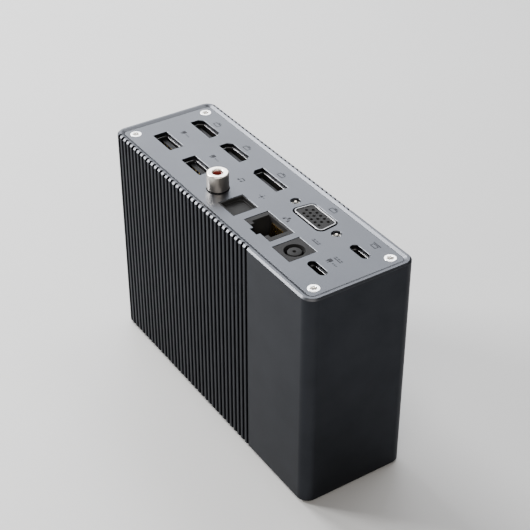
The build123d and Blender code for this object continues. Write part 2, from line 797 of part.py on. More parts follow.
# Network jack: stepped plug cavity and eight sprung contacts
ethernet_x, ethernet_y = ethernet_jack
ethernet_front = panel_top - block_clearance
plug_y = ethernet_y + plug_offset
plug_floor = panel_top - plug_depth
ethernet_low_side = ethernet_y - ethernet_height / 2 - latch_drop - ethernet_lower_wall
plug_low_side = plug_y - plug_height / 2
with BuildPart() as ethernet_jack_block:
    with BuildSketch(Plane.XY.offset(panel_bottom)):
        with Locations(ethernet_jack):
            Rectangle(ethernet_width - 2 * block_clearance, ethernet_height - 2 * block_clearance)
    extrude(amount=ethernet_front - panel_bottom)
    with BuildSketch(Plane.XY.offset(panel_bottom)):
        with Locations((ethernet_x, (ethernet_low_side + lower_board_face) / 2)):
            Rectangle(ethernet_width - 2 * block_clearance, lower_board_face - ethernet_low_side)
    extrude(amount=panel_top - ethernet_depth - panel_bottom)
    with BuildSketch(Plane.XY.offset(ethernet_front)):
        with Locations((ethernet_x, plug_y)):
            Rectangle(plug_width, plug_height)
        with Locations((ethernet_x, plug_low_side - channel_drop / 2)):
            Rectangle(channel_width, channel_drop)
        with Locations((ethernet_x, (plug_low_side + ethernet_y - ethernet_height / 2 - latch_drop) / 2)):
            Rectangle(latch_width, plug_low_side - ethernet_y + ethernet_height / 2 + latch_drop)
    extrude(amount=plug_floor - ethernet_front, mode=Mode.SUBTRACT)

contact_wall = plug_y + plug_height / 2
contact_tip = contact_wall - ethernet_contact_lean
contact_upper_end = panel_top - ethernet_contact_drop
contact_lower_end = plug_floor + ethernet_contact_rise
with BuildPart() as ethernet_contacts:
    with BuildSketch(Plane.YZ.offset(ethernet_x)):
        with BuildLine():
            Polyline(
                (contact_wall, contact_upper_end),
                (contact_tip, contact_lower_end),
                (contact_tip - ethernet_contact_thickness, contact_lower_end),
                (contact_wall - ethernet_contact_thickness, contact_upper_end),
                close=True,
            )
        make_face()
    contact_shape = extrude(amount=ethernet_contact_width / 2, both=True, mode=Mode.PRIVATE)
    with GridLocations(ethernet_contact_pitch, 1, ethernet_contact_count, 1):
        add(contact_shape)

# Power jack: block with a round socket, a post and two metal contacts
power_x, power_y = power_socket
socket_floor = panel_top - power_socket_depth
power_low_side = power_jack[1] - power_height / 2 + block_clearance
with BuildPart() as power_jack_block:
    with BuildSketch(Plane.XY.offset(panel_bottom)):
        with Locations(power_jack):
            Rectangle(power_width - 2 * block_clearance, power_height - 2 * block_clearance)
    extrude(amount=panel_thickness - block_clearance)
    with BuildSketch(Plane.XY.offset(panel_bottom)):
        with Locations((power_jack[0], (power_low_side + lower_board_face) / 2)):
            Rectangle(power_width - 2 * block_clearance, lower_board_face - power_low_side)
    extrude(amount=panel_thickness - power_depth)
    with BuildSketch(Plane.XY.offset(panel_top)):
        with Locations(power_socket):
            Circle(power_socket_radius)
    extrude(amount=-power_socket_depth, mode=Mode.SUBTRACT)

with BuildPart() as power_jack_post:
    with BuildSketch(Plane.XY.offset(socket_floor)):
        with Locations(power_socket):
            Circle(power_post_radius)
            Circle(power_bore_radius, mode=Mode.SUBTRACT)
    extrude(amount=power_socket_depth - power_post_recess)

with BuildPart() as power_jack_centre_contact:
    with BuildSketch(Plane.XY.offset(socket_floor)):
        with Locations(power_socket):
            Circle(power_bore_radius)
            Circle(power_bore_radius - power_contact_wall, mode=Mode.SUBTRACT)
    extrude(amount=power_socket_depth - power_contact_recess)

with BuildPart() as power_jack_sleeve:
    with BuildSketch(Plane.XY.offset(socket_floor)):
        with Locations(power_socket):
            Circle(power_socket_radius)
            Circle(power_socket_radius - power_sleeve_wall, mode=Mode.SUBTRACT)
    extrude(amount=power_socket_depth - power_sleeve_recess)


def make_board(face, half, notch):
    """An upright board whose front is at face; notch gives the x range and depth cut from its top edge."""
    with BuildPart() as board:
        with BuildSketch(wall_plane(face)):
            with Locations((0, board_middle)):
                Rectangle(2 * half, board_top - board_bottom)
            if notch:
                left, right, depth = notch
                with Locations(((left + right) / 2, board_top - depth / 2)):
                    Rectangle(right - left, depth, mode=Mode.SUBTRACT)
            with Locations(*spacer_places):
                Circle(screw_shank_radius + screw_clearance, mode=Mode.SUBTRACT)
        extrude(amount=-board_thickness)
    return board


monitor_notch = (
    monitor_port[0] - monitor_flange_length / 2 - board_notch_margin,
    monitor_port[0] + monitor_flange_length / 2 + board_notch_margin,
    monitor_block_depth + monitor_flange_thickness + board_notch_depth_margin,
)
lower_board = make_board(lower_board_face, lower_board_half, None)
upper_board = make_board(upper_board_face, upper_board_half, monitor_notch)

with BuildPart() as board_spacers:
    with BuildSketch(wall_plane(lower_board_back)):
        with Locations(*spacer_places):
            RegularPolygon(spacer_across_flats / 2, 6, major_radius=False)
            Circle(screw_shank_radius + screw_clearance, mode=Mode.SUBTRACT)
    extrude(amount=lower_board_back - upper_board_face)

with BuildPart() as board_screws:
    for face, toward in ((lower_board_face, 1), (upper_board_back, -1)):
        with BuildSketch(wall_plane(face)):
            with Locations(*spacer_places):
                Circle(board_screw_head_radius)
        extrude(amount=toward * board_screw_head)
        with BuildSketch(wall_plane(face)):
            with Locations(*spacer_places):
                Circle(screw_shank_radius)
        extrude(amount=-toward * board_screw_length)
        with BuildSketch(wall_plane(face - toward * board_screw_head)):
            with Locations(*spacer_places):
                Rectangle(drive_length, drive_width)
                Rectangle(drive_width, drive_length)
        extrude(amount=-toward * drive_depth, mode=Mode.SUBTRACT)

with BuildPart() as board_connector:
    with BuildSketch(wall_plane(lower_board_back)):
        with Locations((0, board_bottom + board_connector_rise)):
            Rectangle(board_connector_length, board_connector_height)
    extrude(amount=lower_board_back - upper_board_face)

# Chips, their pads and the two spreaders that carry their heat to the ribbed walls
hub_chip_places = [(x, board_bottom + chip_rise) for x in hub_chip_xs]
video_chip_places = [(x, board_bottom + chip_rise) for x in video_chip_xs]
front_inner_wall = -cavity_width / 2
back_inner_wall = cavity_width / 2
spreader_middle = (spreader_x, board_bottom + chip_rise)

with BuildPart() as hub_chips:
    with BuildSketch(wall_plane(lower_board_face)):
        with Locations(*hub_chip_places):
            Rectangle(chip_size, chip_size)
    extrude(amount=chip_height)

with BuildPart() as video_chips:
    with BuildSketch(wall_plane(upper_board_back)):
        with Locations(*video_chip_places):
            Rectangle(chip_size, chip_size)
    extrude(amount=-chip_height)

with BuildPart() as thermal_pads:
    with BuildSketch(wall_plane(lower_board_face - chip_height)):
        with Locations(*hub_chip_places):
            Rectangle(chip_size, chip_size)
    extrude(amount=pad_thickness)
    with BuildSketch(wall_plane(upper_board_back + chip_height)):
        with Locations(*video_chip_places):
            Rectangle(chip_size, chip_size)
    extrude(amount=-pad_thickness)

front_pad_face = lower_board_face - chip_height - pad_thickness
back_pad_face = upper_board_back + chip_height + pad_thickness
with BuildPart() as front_heat_spreader:
    with BuildSketch(wall_plane(front_inner_wall + spreader_gap)):
        with Locations(spreader_middle):
            Rectangle(spreader_length, spreader_height)
    extrude(amount=-spreader_thickness)
    with BuildSketch(wall_plane(front_inner_wall + spreader_gap)):
        with Locations(*hub_chip_places):
            Rectangle(chip_size, chip_size)
    extrude(amount=front_inner_wall + spreader_gap - front_pad_face)

with BuildPart() as back_heat_spreader:
    with BuildSketch(wall_plane(back_pad_face)):
        with Locations(spreader_middle):
            Rectangle(spreader_length, spreader_height)
    extrude(amount=back_pad_face - back_inner_wall + spreader_gap)

with BuildPart() as ethernet_transformer:
    with BuildSketch(wall_plane(lower_board_face)):
        with Locations((ethernet_x, board_top - ethernet_depth - transformer_drop)):
            Rectangle(transformer_length, transformer_height)
    extrude(amount=transformer_thickness)

with BuildPart() as power_inductors:
    with BuildSketch(wall_plane(lower_board_face)):
        with Locations(*[(power_jack[0], board_bottom + rise) for rise in inductor_rises]):
            RectangleRounded(inductor_size, inductor_size, inductor_corner_radius)
    extrude(amount=inductor_thickness)

with BuildPart() as power_capacitors:
    with BuildSketch(wall_plane(lower_board_face)):
        with Locations(*[(capacitor_share * half_length, board_bottom + rise) for rise in capacitor_rises]):
            Circle(capacitor_radius)
    extrude(amount=capacitor_height)

with BuildPart() as crystals:
    with BuildSketch(wall_plane(lower_board_face)):
        with Locations(*[(x, board_bottom + crystal_rise) for x in crystal_xs]):
            RectangleRounded(crystal_length, crystal_height, crystal_corner_radius)
    extrude(amount=crystal_thickness)

os.makedirs("parts", exist_ok=True)
save(housing_sleeve, "housing_sleeve")
save(port_panel, "port_panel")
save(base_plate, "base_plate")
save(base_feet, "base_feet")
save(port_panel_screws, "port_panel_screws")
save(base_plate_screws, "base_plate_screws")
save(video_port_shells, "video_port_shells")
save(video_port_tongues, "video_port_tongues")
save(video_port_contacts, "video_port_contacts")
save(display_port_shell, "display_port_shell")
save(display_port_tongue, "display_port_tongue")
save(display_port_contacts, "display_port_contacts")
save(usb_a_shells, "usb_a_shells")
save(usb_a_tongues, "usb_a_tongues")
save(usb_a_contacts, "usb_a_contacts")
save(usb_c_shells, "usb_c_shells")
save(usb_c_tongues, "usb_c_tongues")
save(usb_c_contacts, "usb_c_contacts")
save(monitor_port_shell, "monitor_port_shell")
save(monitor_port_insert, "monitor_port_insert")
save(monitor_port_contacts, "monitor_port_contacts")
save(monitor_port_jack_screws, "monitor_port_jack_screws")
save(coax_jack_barrel, "coax_jack_barrel")
save(coax_jack_insulator, "coax_jack_insulator")
save(coax_jack_centre_contact, "coax_jack_centre_contact")
save(coax_jack_collar, "coax_jack_collar")
save(coax_jack_block, "coax_jack_block")
save(optical_jack_block, "optical_jack_block")
save(optical_shutter, "optical_shutter")
save(shutter_pin, "shutter_pin")
save(shutter_spring, "shutter_spring")
save(optical_emitter, "optical_emitter")
save(ethernet_jack_block, "ethernet_jack_block")
save(ethernet_contacts, "ethernet_contacts")
save(power_jack_block, "power_jack_block")
save(power_jack_post, "power_jack_post")
save(power_jack_centre_contact, "power_jack_centre_contact")
save(power_jack_sleeve, "power_jack_sleeve")
save(lower_board, "lower_board")
save(upper_board, "upper_board")
save(board_spacers, "board_spacers")
save(board_screws, "board_screws")
save(board_connector, "board_connector")
save(hub_chips, "hub_chips")
save(video_chips, "video_chips")
save(thermal_pads, "thermal_pads")
save(front_heat_spreader, "front_heat_spreader")
save(back_heat_spreader, "back_heat_spreader")
save(ethernet_transformer, "ethernet_transformer")
save(power_inductors, "power_inductors")
save(power_capacitors, "power_capacitors")
save(crystals, "crystals")
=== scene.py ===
import json
import math
import bmesh
import bpy
from mathutils import Matrix, Vector


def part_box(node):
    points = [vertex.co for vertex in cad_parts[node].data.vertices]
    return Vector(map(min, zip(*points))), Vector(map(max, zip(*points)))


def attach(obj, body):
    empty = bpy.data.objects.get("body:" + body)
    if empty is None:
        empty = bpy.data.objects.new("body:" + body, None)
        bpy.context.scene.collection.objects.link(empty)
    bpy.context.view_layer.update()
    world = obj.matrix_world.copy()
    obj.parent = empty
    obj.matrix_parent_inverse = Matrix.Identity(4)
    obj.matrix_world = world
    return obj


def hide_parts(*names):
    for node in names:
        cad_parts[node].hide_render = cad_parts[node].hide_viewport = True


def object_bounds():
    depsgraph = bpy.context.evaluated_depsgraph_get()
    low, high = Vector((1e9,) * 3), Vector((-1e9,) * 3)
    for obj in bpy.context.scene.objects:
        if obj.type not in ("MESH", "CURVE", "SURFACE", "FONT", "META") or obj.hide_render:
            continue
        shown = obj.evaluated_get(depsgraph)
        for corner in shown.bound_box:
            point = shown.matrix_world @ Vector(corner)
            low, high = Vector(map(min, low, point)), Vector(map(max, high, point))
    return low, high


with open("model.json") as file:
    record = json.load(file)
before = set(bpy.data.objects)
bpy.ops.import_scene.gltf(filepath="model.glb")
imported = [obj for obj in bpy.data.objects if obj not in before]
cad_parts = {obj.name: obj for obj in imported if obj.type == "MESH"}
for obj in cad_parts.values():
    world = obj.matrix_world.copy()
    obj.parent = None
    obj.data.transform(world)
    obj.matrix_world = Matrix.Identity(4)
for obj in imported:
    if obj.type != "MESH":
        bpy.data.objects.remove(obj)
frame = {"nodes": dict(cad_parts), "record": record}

mm = 0.001
cadLow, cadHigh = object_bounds()
slotOf = {row["node"]: row["material_slot"] for row in frame["record"]["subparts"]}
bodyOf = {node: body for body, nodes in frame["record"]["behaviour"]["bodies"].items() for node in nodes}
print("frame loaded,", len(frame["nodes"]), "nodes")

panelLow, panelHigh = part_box("port_panel")
sleeveLow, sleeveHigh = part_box("housing_sleeve")
panelTop = panelHigh.z
panelCentreY = (panelLow.y + panelHigh.y) / 2


# finishes

finishes = {
    # housing: a band at the top rim is painted lighter, a painted highlight for the light from above
    "housing": {"colour": (0.026, 0.028, 0.033), "metal": 1.0, "rough": 0.42, "roughSpread": 0.05,
                "grain": 0.16, "bump": 0.10, "tone": 0.10, "streak": 0.06, "metres": 0.012,
                "paintedRimHighlight": (0.080, 0.083, 0.092), "paintedHighlightDepth": 0.72, "edgeTint": 0.72},
    "panel": {"colour": (0.062, 0.065, 0.073), "metal": 1.0, "rough": 0.36, "roughSpread": 0.04,
              "grain": 0.16, "bump": 0.08, "tone": 0.05, "streak": 0.0, "metres": 0.020},
    "bright_steel": {"colour": (0.78, 0.77, 0.75), "metal": 1.0, "rough": 0.20, "roughSpread": 0.06,
                     "grain": 0.20, "bump": 0.04, "tone": 0.05, "streak": 0.0, "metres": 0.002},
    # shell steel: painted darker than bare nickel, painted shade for the shadow inside the socket mouths
    "shell_steel": {"colour": (0.22, 0.22, 0.225), "metal": 1.0, "rough": 0.30, "roughSpread": 0.08,
                    "grain": 0.12, "bump": 0.06, "tone": 0.08, "streak": 0.10, "metres": 0.003},
    "black_plastic": {"shine": 0.1, "colour": (0.007, 0.007, 0.008), "metal": 0.0,
                      "rough": 0.42, "roughSpread": 0.08, "grain": 0.10,
                      "bump": 0.10, "tone": 0.15, "streak": 0.0, "metres": 0.004},
    "grey_plastic": {"shine": 0.05, "colour": (0.022, 0.022, 0.0225), "metal": 0.0,
                     "rough": 0.60, "roughSpread": 0.06, "grain": 0.14,
                     "bump": 0.14, "tone": 0.10, "streak": 0.0, "metres": 0.004},
    "red_plastic": {"shine": 0.5, "colour": (0.16, 0.012, 0.008), "metal": 0.0,
                    "rough": 0.30, "roughSpread": 0.05, "grain": 0.12,
                    "bump": 0.05, "tone": 0.12, "streak": 0.0, "metres": 0.002},
    "gold_contact": {"colour": (0.86, 0.60, 0.22), "metal": 1.0, "rough": 0.22, "roughSpread": 0.06,
                     "grain": 0.10, "bump": 0.04, "tone": 0.10, "streak": 0.0, "metres": 0.001},
    "spacer_brass": {"colour": (0.74, 0.56, 0.27), "metal": 1.0, "rough": 0.28, "roughSpread": 0.08,
                     "grain": 0.10, "bump": 0.06, "tone": 0.12, "streak": 0.10, "metres": 0.002},
    "rubber": {"colour": (0.018, 0.018, 0.019), "metal": 0.0, "rough": 0.80, "roughSpread": 0.08,
               "grain": 0.22, "bump": 0.30, "tone": 0.20, "streak": 0.0, "metres": 0.003},
    "chip": {"colour": (0.022, 0.022, 0.024), "metal": 0.0, "rough": 0.55, "roughSpread": 0.08,
             "grain": 0.12, "bump": 0.16, "tone": 0.15, "streak": 0.0, "metres": 0.004},
    "pad": {"colour": (0.40, 0.45, 0.52), "metal": 0.0, "rough": 0.75, "roughSpread": 0.06,
            "grain": 0.30, "bump": 0.20, "tone": 0.10, "streak": 0.0, "metres": 0.003},
    "spreader": {"colour": (0.80, 0.81, 0.82), "metal": 1.0, "rough": 0.34, "roughSpread": 0.08,
                 "grain": 0.20, "bump": 0.06, "tone": 0.06, "streak": 0.12, "metres": 0.006},
    "can": {"colour": (0.74, 0.74, 0.76), "metal": 1.0, "rough": 0.26, "roughSpread": 0.06,
            "grain": 0.15, "bump": 0.05, "tone": 0.06, "streak": 0.08, "metres": 0.004},
    "warmNickel": {"colour": (0.80, 0.75, 0.68), "metal": 1.0, "rough": 0.30, "roughSpread": 0.04,
                   "grain": 0.10, "bump": 0.02, "tone": 0.04, "streak": 0.0, "metres": 0.002},
    "ink": {"shine": 0.03, "colour": (0.030, 0.031, 0.035), "metal": 0.0, "rough": 0.55, "roughSpread": 0.05,
            "grain": 0.06, "bump": 0.05, "tone": 0.15, "streak": 0.0, "metres": 0.002},
    "floorPaint": {"colour": (0.46, 0.46, 0.46), "metal": 0.0, "rough": 0.55, "roughSpread": 0.06,
                   "grain": 1.5, "bump": 0.02, "tone": 0.02, "streak": 0.0, "metres": 0.25},
}


# how every finish is built up; lengths are in mm
surface = {"driftDetail": 4.0, "driftFrom": 0.30, "driftTo": 0.70, "grainDetail": 2.0, "lift": 0.05,
           "streakWidth": 0.35, "streakDetail": 3.0, "streakStretch": 0.01, "streakGain": 4}


def link(tree, source, target):
    tree.links.new(source, target)


def makeFinish(name, look):
    # colour and gloss drift slowly over the piece, and a fine grain lifts the surface
    material = bpy.data.materials.new(name)
    material.use_nodes = True
    tree = material.node_tree
    shader = tree.nodes["Principled BSDF"]
    shader.inputs["Metallic"].default_value = look["metal"]
    shader.inputs["Specular IOR Level"].default_value = look.get("shine", 0.5)
    tint = look.get("edgeTint", 1.0)
    shader.inputs["Specular Tint"].default_value = (tint, tint, tint, 1.0)
    place = tree.nodes.new("ShaderNodeTexCoord").outputs["Object"]

    drift = tree.nodes.new("ShaderNodeTexNoise")
    drift.inputs["Scale"].default_value = 1 / look["metres"]
    drift.inputs["Detail"].default_value = surface["driftDetail"]
    link(tree, place, drift.inputs["Vector"])
    ramp = tree.nodes.new("ShaderNodeValToRGB")
    ramp.color_ramp.elements[0].position = surface["driftFrom"]
    ramp.color_ramp.elements[1].position = surface["driftTo"]
    for element, share in zip(ramp.color_ramp.elements, (1 - look["tone"], 1 + look["tone"])):
        element.color = (*[min(1.0, c * share) for c in look["colour"]], 1.0)
    link(tree, drift.outputs["Fac"], ramp.inputs["Fac"])
    colour = ramp.outputs["Color"]
    if "paintedRimHighlight" in look:   # painted highlight: the top band of the sleeve is painted lighter to stand in for the light its upward rim faces catch
        spot = tree.nodes.new("ShaderNodeSeparateXYZ")
        link(tree, place, spot.inputs["Vector"])
        paintedHighlightBand = tree.nodes.new("ShaderNodeMath")
        paintedHighlightBand.operation = "GREATER_THAN"
        paintedHighlightBand.inputs[1].default_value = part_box("housing_sleeve")[1].z - look["paintedHighlightDepth"] * mm
        link(tree, spot.outputs["Z"], paintedHighlightBand.inputs[0])
        rim = tree.nodes.new("ShaderNodeMix")
        rim.data_type = "RGBA"
        factor, bare, cut = rim.inputs[0], rim.inputs[6], rim.inputs[7]   # the colour sockets of a mix node
        cut.default_value = (*look["paintedRimHighlight"], 1.0)
        link(tree, paintedHighlightBand.outputs["Value"], factor)
        link(tree, colour, bare)
        colour = rim.outputs[2]
    link(tree, colour, shader.inputs["Base Color"])

    grain = tree.nodes.new("ShaderNodeTexNoise")
    grain.inputs["Scale"].default_value = 1 / (look["grain"] * mm)
    grain.inputs["Detail"].default_value = surface["grainDetail"]
    link(tree, place, grain.inputs["Vector"])
    gloss = tree.nodes.new("ShaderNodeMapRange")
    gloss.inputs["To Min"].default_value = look["rough"] - look["roughSpread"]
    gloss.inputs["To Max"].default_value = look["rough"] + look["roughSpread"]
    link(tree, grain.outputs["Fac"], gloss.inputs["Value"])
    link(tree, gloss.outputs["Result"], shader.inputs["Roughness"])

    height = grain.outputs["Fac"]
    if look["streak"]:   # drawn or extruded metal has faint lines along Z
        stretch = tree.nodes.new("ShaderNodeMapping")
        stretch.inputs["Scale"].default_value = (1.0, 1.0, surface["streakStretch"])
        link(tree, place, stretch.inputs["Vector"])
        lines = tree.nodes.new("ShaderNodeTexNoise")
        lines.inputs["Scale"].default_value = 1 / (surface["streakWidth"] * mm)
        lines.inputs["Detail"].default_value = surface["streakDetail"]
        link(tree, stretch.outputs["Vector"], lines.inputs["Vector"])
        blend = tree.nodes.new("ShaderNodeMath")
        blend.operation = "MULTIPLY_ADD"
        blend.inputs[1].default_value = look["streak"] * surface["streakGain"]
        link(tree, lines.outputs["Fac"], blend.inputs[0])
        link(tree, height, blend.inputs[2])
        height = blend.outputs["Value"]
    lift = tree.nodes.new("ShaderNodeBump")
    lift.inputs["Strength"].default_value = look["bump"]
    lift.inputs["Distance"].default_value = surface["lift"] * mm
    link(tree, height, lift.inputs["Height"])
    link(tree, lift.outputs["Normal"], shader.inputs["Normal"])
    return material


boardLook = {"mask": (0.010, 0.060, 0.030), "copper": (0.020, 0.105, 0.050), "traceWidth": 1.1, "rough": 0.32,
             "coat": 0.3, "maskUpTo": 0.35, "copperFrom": 0.45, "bump": 0.3, "lift": 0.03}


def makeBoardFinish():
    # green mask over routed copper: squared cells stand for the trace field
    material = bpy.data.materials.new("boardMask")
    material.use_nodes = True
    tree = material.node_tree
    shader = tree.nodes["Principled BSDF"]
    shader.inputs["Roughness"].default_value = boardLook["rough"]
    shader.inputs["Coat Weight"].default_value = boardLook["coat"]
    place = tree.nodes.new("ShaderNodeTexCoord").outputs["Object"]
    cells = tree.nodes.new("ShaderNodeTexVoronoi")
    cells.distance = "CHEBYCHEV"
    cells.inputs["Scale"].default_value = 1 / (boardLook["traceWidth"] * mm)
    link(tree, place, cells.inputs["Vector"])
    ramp = tree.nodes.new("ShaderNodeValToRGB")
    ramp.color_ramp.interpolation = "EASE"
    ramp.color_ramp.elements[0].position = boardLook["maskUpTo"]
    ramp.color_ramp.elements[1].position = boardLook["copperFrom"]
    ramp.color_ramp.elements[0].color = (*boardLook["mask"], 1.0)
    ramp.color_ramp.elements[1].color = (*boardLook["copper"], 1.0)
    link(tree, cells.outputs["Distance"], ramp.inputs["Fac"])
    link(tree, ramp.outputs["Color"], shader.inputs["Base Color"])
    lift = tree.nodes.new("ShaderNodeBump")
    lift.inputs["Strength"].default_value = boardLook["bump"]
    lift.inputs["Distance"].default_value = boardLook["lift"] * mm
    link(tree, cells.outputs["Distance"], lift.inputs["Height"])
    link(tree, lift.outputs["Normal"], shader.inputs["Normal"])
    return material


materials = {name: makeFinish(name, look) for name, look in finishes.items()}
materials["board"] = makeBoardFinish()
print("finishes made,", len(materials))


# ways of making a piece

def addObject(name, mesh):
    piece = bpy.data.objects.new(name, mesh)
    bpy.context.scene.collection.objects.link(piece)
    return piece


def plainCopy(piece, name):
    # the evaluated shape as a plain mesh, with no modifier left on it
    bpy.context.view_layer.update()
    graph = bpy.context.evaluated_depsgraph_get()
    mesh = bpy.data.meshes.new_from_object(piece.evaluated_get(graph))
    piece.modifiers.clear()
    bpy.data.objects.remove(piece)
    return addObject(name, mesh)


# angles in degrees; merge is in metres
shading = {"bevelAngle": 35, "weight": 80, "flatAngle": 1.5, "merge": 1e-6, "upright": 0.1}


def settle(piece, node, finish, smoothAngle=32, edge=0, steps=2):
    # eased edges, even shading, the finish, and the CAD node that the piece stands for
    for polygon in piece.data.polygons:
        polygon.use_smooth = True
        polygon.material_index = 0
    piece.data.set_sharp_from_angle(angle=math.radians(smoothAngle))
    if edge:
        bevel = piece.modifiers.new("ease", "BEVEL")
        bevel.width = edge * mm
        bevel.segments = steps
        bevel.limit_method = "ANGLE"
        bevel.angle_limit = math.radians(shading["bevelAngle"])
    even = piece.modifiers.new("even", "WEIGHTED_NORMAL")
    even.keep_sharp = True
    even.weight = shading["weight"]
    piece = plainCopy(piece, node + ".shown")
    piece.data.materials.clear()
    piece.data.materials.append(materials[finish])
    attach(piece, bodyOf[node])
    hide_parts(node)
    return piece


mouths = {"chamfer": 0.24, "margin": 2.0}


def isMouthEdge(edge):
    # a top edge of the panel over an upright wall, well inside its outline
    middle = (edge.verts[0].co + edge.verts[1].co) / 2
    level = all(abs(v.co.z - panelTop) < shading["merge"] for v in edge.verts)
    inside = (abs(middle.x) < panelHigh.x - mouths["margin"] * mm
              and panelLow.y + mouths["margin"] * mm < middle.y < panelHigh.y - mouths["margin"] * mm)
    return level and inside and min(abs(face.normal.z) for face in edge.link_faces) < shading["upright"]


def refine(node, finish, edge=0.06, steps=2, chamferMouths=False):
    # a merged copy of a CAD node with its edges eased
    mesh = frame["nodes"][node].data.copy()
    shape = bmesh.new()
    shape.from_mesh(mesh)
    bmesh.ops.remove_doubles(shape, verts=shape.verts, dist=shading["merge"])
    bmesh.ops.dissolve_limit(shape, angle_limit=math.radians(shading["flatAngle"]), verts=shape.verts,
                             edges=shape.edges)
    if chamferMouths:
        bmesh.ops.bevel(shape, geom=[e for e in shape.edges if isMouthEdge(e)], offset=mouths["chamfer"] * mm,
                        segments=1, profile=0.5, affect="EDGES", clamp_overlap=False)
    shape.to_mesh(mesh)
    shape.free()
    return settle(addObject("raw", mesh), node, finish, edge=edge, steps=steps)


def ringSolid(name, rings, segments=48, centre=(0, 0, 0), closed=False):
    # rings run up, over and round a turned part: (radius, height, lobe) in mm; a lobe waves a six-lobed ring
    shape = bmesh.new()
    loops = []
    for radius, height, lobe in rings:
        loop = []
        for i in range(segments):
            turn = 2 * math.pi * i / segments
            reach = (radius + lobe * math.cos(6 * turn)) * mm
            loop.append(shape.verts.new((reach * math.cos(turn), reach * math.sin(turn), height * mm)))
        loops.append(loop)
    pairs = list(zip(loops, loops[1:] + ([loops[0]] if closed else [])))
    for low, high in pairs[:len(loops) if closed else len(loops) - 1]:
        for i in range(segments):
            j = (i + 1) % segments
            shape.faces.new((low[i], low[j], high[j], high[i]))
    if not closed:
        shape.faces.new(list(reversed(loops[0])))
        shape.faces.new(loops[-1])
    bmesh.ops.recalc_face_normals(shape, faces=shape.faces)
    mesh = bpy.data.meshes.new(name)
    shape.to_mesh(mesh)
    shape.free()
    mesh.transform(Matrix.Translation(Vector(centre)))
    return addObject(name, mesh)


def roundCorners(points, radii, steps=4):
    # a polyline's corners as small arcs; points and radii are in mm, the polyline is closed
    result = []
    count = len(points)
    for i, (point, radius) in enumerate(zip(points, radii)):
        corner = Vector(point)
        before, after = Vector(points[i - 1]), Vector(points[(i + 1) % count])
        if radius == 0:
            result.append(tuple(corner))
            continue
        inward, outward = (before - corner).normalized(), (after - corner).normalized()
        halfAngle = inward.angle(outward) / 2
        reach = radius / math.tan(halfAngle)
        centre = corner + (inward + outward).normalized() * radius / math.sin(halfAngle)
        start, end = corner + inward * reach - centre, corner + outward * reach - centre
        for k in range(steps + 1):
            arm = start.lerp(end, k / steps).normalized() * radius
            result.append(tuple(centre + arm))
    return result


# node trees

def newTree(name, sockets):
    tree = bpy.data.node_groups.new(name, "GeometryNodeTree")
    for label, kind in sockets:
        tree.interface.new_socket(label, in_out="INPUT", socket_type="NodeSocket" + kind)
    tree.interface.new_socket("Geometry", in_out="OUTPUT", socket_type="NodeSocketGeometry")
    return tree, tree.nodes.new("NodeGroupInput").outputs


def addNode(tree, kind, inputs=None, **settings):
    node = tree.nodes.new(kind)
    for key, value in settings.items():
        setattr(node, key, value)
    for key, value in (inputs or {}).items():
        if isinstance(value, bpy.types.NodeSocket):
            tree.links.new(value, node.inputs[key])
        else:
            node.inputs[key].default_value = value
    return node


def endTree(tree, geometry, material):
    realised = addNode(tree, "GeometryNodeRealizeInstances", {"Geometry": geometry})
    painted = addNode(tree, "GeometryNodeSetMaterial",
                      {"Geometry": realised.outputs[0], "Material": material})
    out = tree.nodes.new("NodeGroupOutput")
    tree.links.new(painted.outputs[0], out.inputs["Geometry"])


def runTree(tree, name, values):
    # the tree's result as a plain mesh
    holder = addObject("holder", bpy.data.meshes.new("holder"))
    modifier = holder.modifiers.new("build", "NODES")
    modifier.node_group = tree
    for item in tree.interface.items_tree:
        if item.item_type == "SOCKET" and item.in_out == "INPUT" and item.name in values:
            modifier[item.identifier] = values[item.name]
    return plainCopy(holder, name)


def dropUnits(*units):
    for unit in units:
        bpy.data.objects.remove(unit)


def makeGridTree():
    # copies of one unit in columns and rows about a centre, with every second row shifted
    tree, given = newTree("unitGrid", [
        ("Unit", "Object"), ("Columns", "Int"), ("Rows", "Int"), ("Column Step", "Vector"),
        ("Row Step", "Vector"), ("Row Shift", "Vector"), ("Centre", "Vector"), ("Turn", "Vector"),
        ("Material", "Material")])
    index = addNode(tree, "GeometryNodeInputIndex").outputs[0]

    def number(operation, first, second=0.0):
        return addNode(tree, "ShaderNodeMath", {0: first, 1: second}, operation=operation).outputs[0]

    def scaled(vector, factor):
        node = addNode(tree, "ShaderNodeVectorMath", {0: vector, "Scale": factor}, operation="SCALE")
        return node.outputs[0]

    def summed(first, second):
        return addNode(tree, "ShaderNodeVectorMath", {0: first, 1: second}, operation="ADD").outputs[0]

    column = number("MODULO", index, given["Columns"])
    row = number("FLOOR", number("ADD", number("DIVIDE", index, given["Columns"]), 0.001))
    middleColumn = number("MULTIPLY", number("SUBTRACT", given["Columns"], 1.0), 0.5)
    middleRow = number("MULTIPLY", number("SUBTRACT", given["Rows"], 1.0), 0.5)
    columnFromMiddle = number("SUBTRACT", column, middleColumn)
    rowFromMiddle = number("SUBTRACT", row, middleRow)
    place = summed(scaled(given["Column Step"], columnFromMiddle), scaled(given["Row Step"], rowFromMiddle))
    place = summed(place, scaled(given["Row Shift"], number("MODULO", row, 2.0)))
    place = summed(place, given["Centre"])
    points = addNode(tree, "GeometryNodePoints",
                     {"Count": number("MULTIPLY", given["Columns"], given["Rows"]), "Position": place})
    unit = addNode(tree, "GeometryNodeObjectInfo", {"Object": given["Unit"]})
    copies = addNode(tree, "GeometryNodeInstanceOnPoints",
                     {"Points": points.outputs[0], "Instance": unit.outputs["Geometry"],
                      "Rotation": given["Turn"]})
    endTree(tree, copies.outputs[0], given["Material"])
    return tree


gridTree = makeGridTree()


